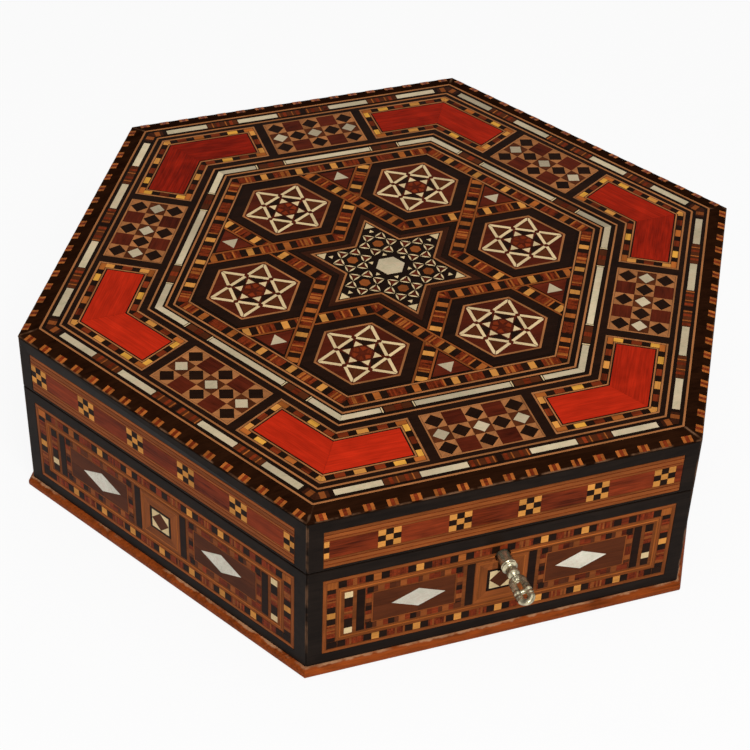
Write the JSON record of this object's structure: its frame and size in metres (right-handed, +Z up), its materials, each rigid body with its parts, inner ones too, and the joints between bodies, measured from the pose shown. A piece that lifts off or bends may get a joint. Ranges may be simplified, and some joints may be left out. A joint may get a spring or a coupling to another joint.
{
  "type": "inlaid wooden box",
  "caption": "Low hexagonal wooden box with geometric marquetry and pearl inlay, a hinged lid, and a turning key that slides a lock bolt.",
  "frame": {"origin": "centre of the underside, on the surface the box stands on", "axes": "+Z up; the front with the key faces -Y and the hinges are towards +Y; +X is the right-hand corner seen from the front"},
  "size_m": [0.2676, 0.2554, 0.07],
  "materials": {
    "walnut": "satin varnish",
    "base_wood": "satin varnish",
    "ebony": "satin varnish",
    "red_wood": "satin varnish",
    "marquetry": "satin varnish",
    "pearl": "polished mother of pearl",
    "velvet": "short pile",
    "brass": "satin",
    "nickel": "cast, nickel plated"
  },
  "bodies": {
    "box": {"wall_front": "walnut", "wall_front_right": "walnut", "wall_back_right": "walnut", "wall_back": "walnut", "wall_back_left": "walnut", "wall_front_left": "walnut", "base_board": "base_wood", "wall_frames": "ebony", "wall_panels": "marquetry", "wall_centre_tiles": "marquetry", "wall_rhombi": "pearl", "floor_lining": "velvet", "hinge_leaves_box": "brass", "hinge_pins": "brass", "hinge_screws_box": "brass", "lock_case": "brass", "lock_cover": "brass", "lock_pin": "brass", "lock_screws": "brass"},
    "lid": {"lid_rail_front": "walnut", "lid_rail_front_right": "walnut", "lid_rail_back_right": "walnut", "lid_rail_back": "walnut", "lid_rail_back_left": "walnut", "lid_rail_front_left": "walnut", "lid_top_board": "walnut", "lid_lining": "velvet", "lid_frames": "ebony", "lid_friezes": "marquetry", "lid_edge_strips": "ebony", "outer_pearl_strips": "pearl", "outer_border": "marquetry", "inner_pearl_strips": "pearl", "inner_border": "marquetry", "chequer_tiles": "marquetry", "chevron_panels": "red_wood", "chevron_borders": "marquetry", "panel_ring": "ebony", "medallion_frames": "ebony", "medallion_tiles": "marquetry", "star_frame": "ebony", "star_tile": "marquetry", "star_pearl": "pearl", "field_triangles": "marquetry", "pearl_triangles": "pearl", "strapwork": "marquetry", "strike_plate": "brass", "strike_screws": "brass", "hinge_leaves_lid": "brass", "hinge_screws_lid": "brass"},
    "key": {"key": "nickel"},
    "bolt": {"lock_bolt": "brass"}
  },
  "joints": [
    {"name": "lid_hinge", "type": "hinge", "parent": "box", "child": "lid", "pos_m": [0, 0.1166, 0.0468], "axis": [-1, 0, 0], "range_deg": [0, 105]},
    {"name": "key_turn", "type": "hinge", "parent": "box", "child": "key", "pos_m": [0, -0.1143, 0.0361], "axis": [0, 1, 0], "range_deg": [0, 180]},
    {"name": "bolt_slide", "type": "slide", "parent": "box", "child": "bolt", "axis": [0, 0, 1], "range_m": [0, 0.005]}
  ],
  "couplings": [
    {"joint": "key_turn", "follows": "bolt_slide", "rad_per_m": 628.3}
  ]
}
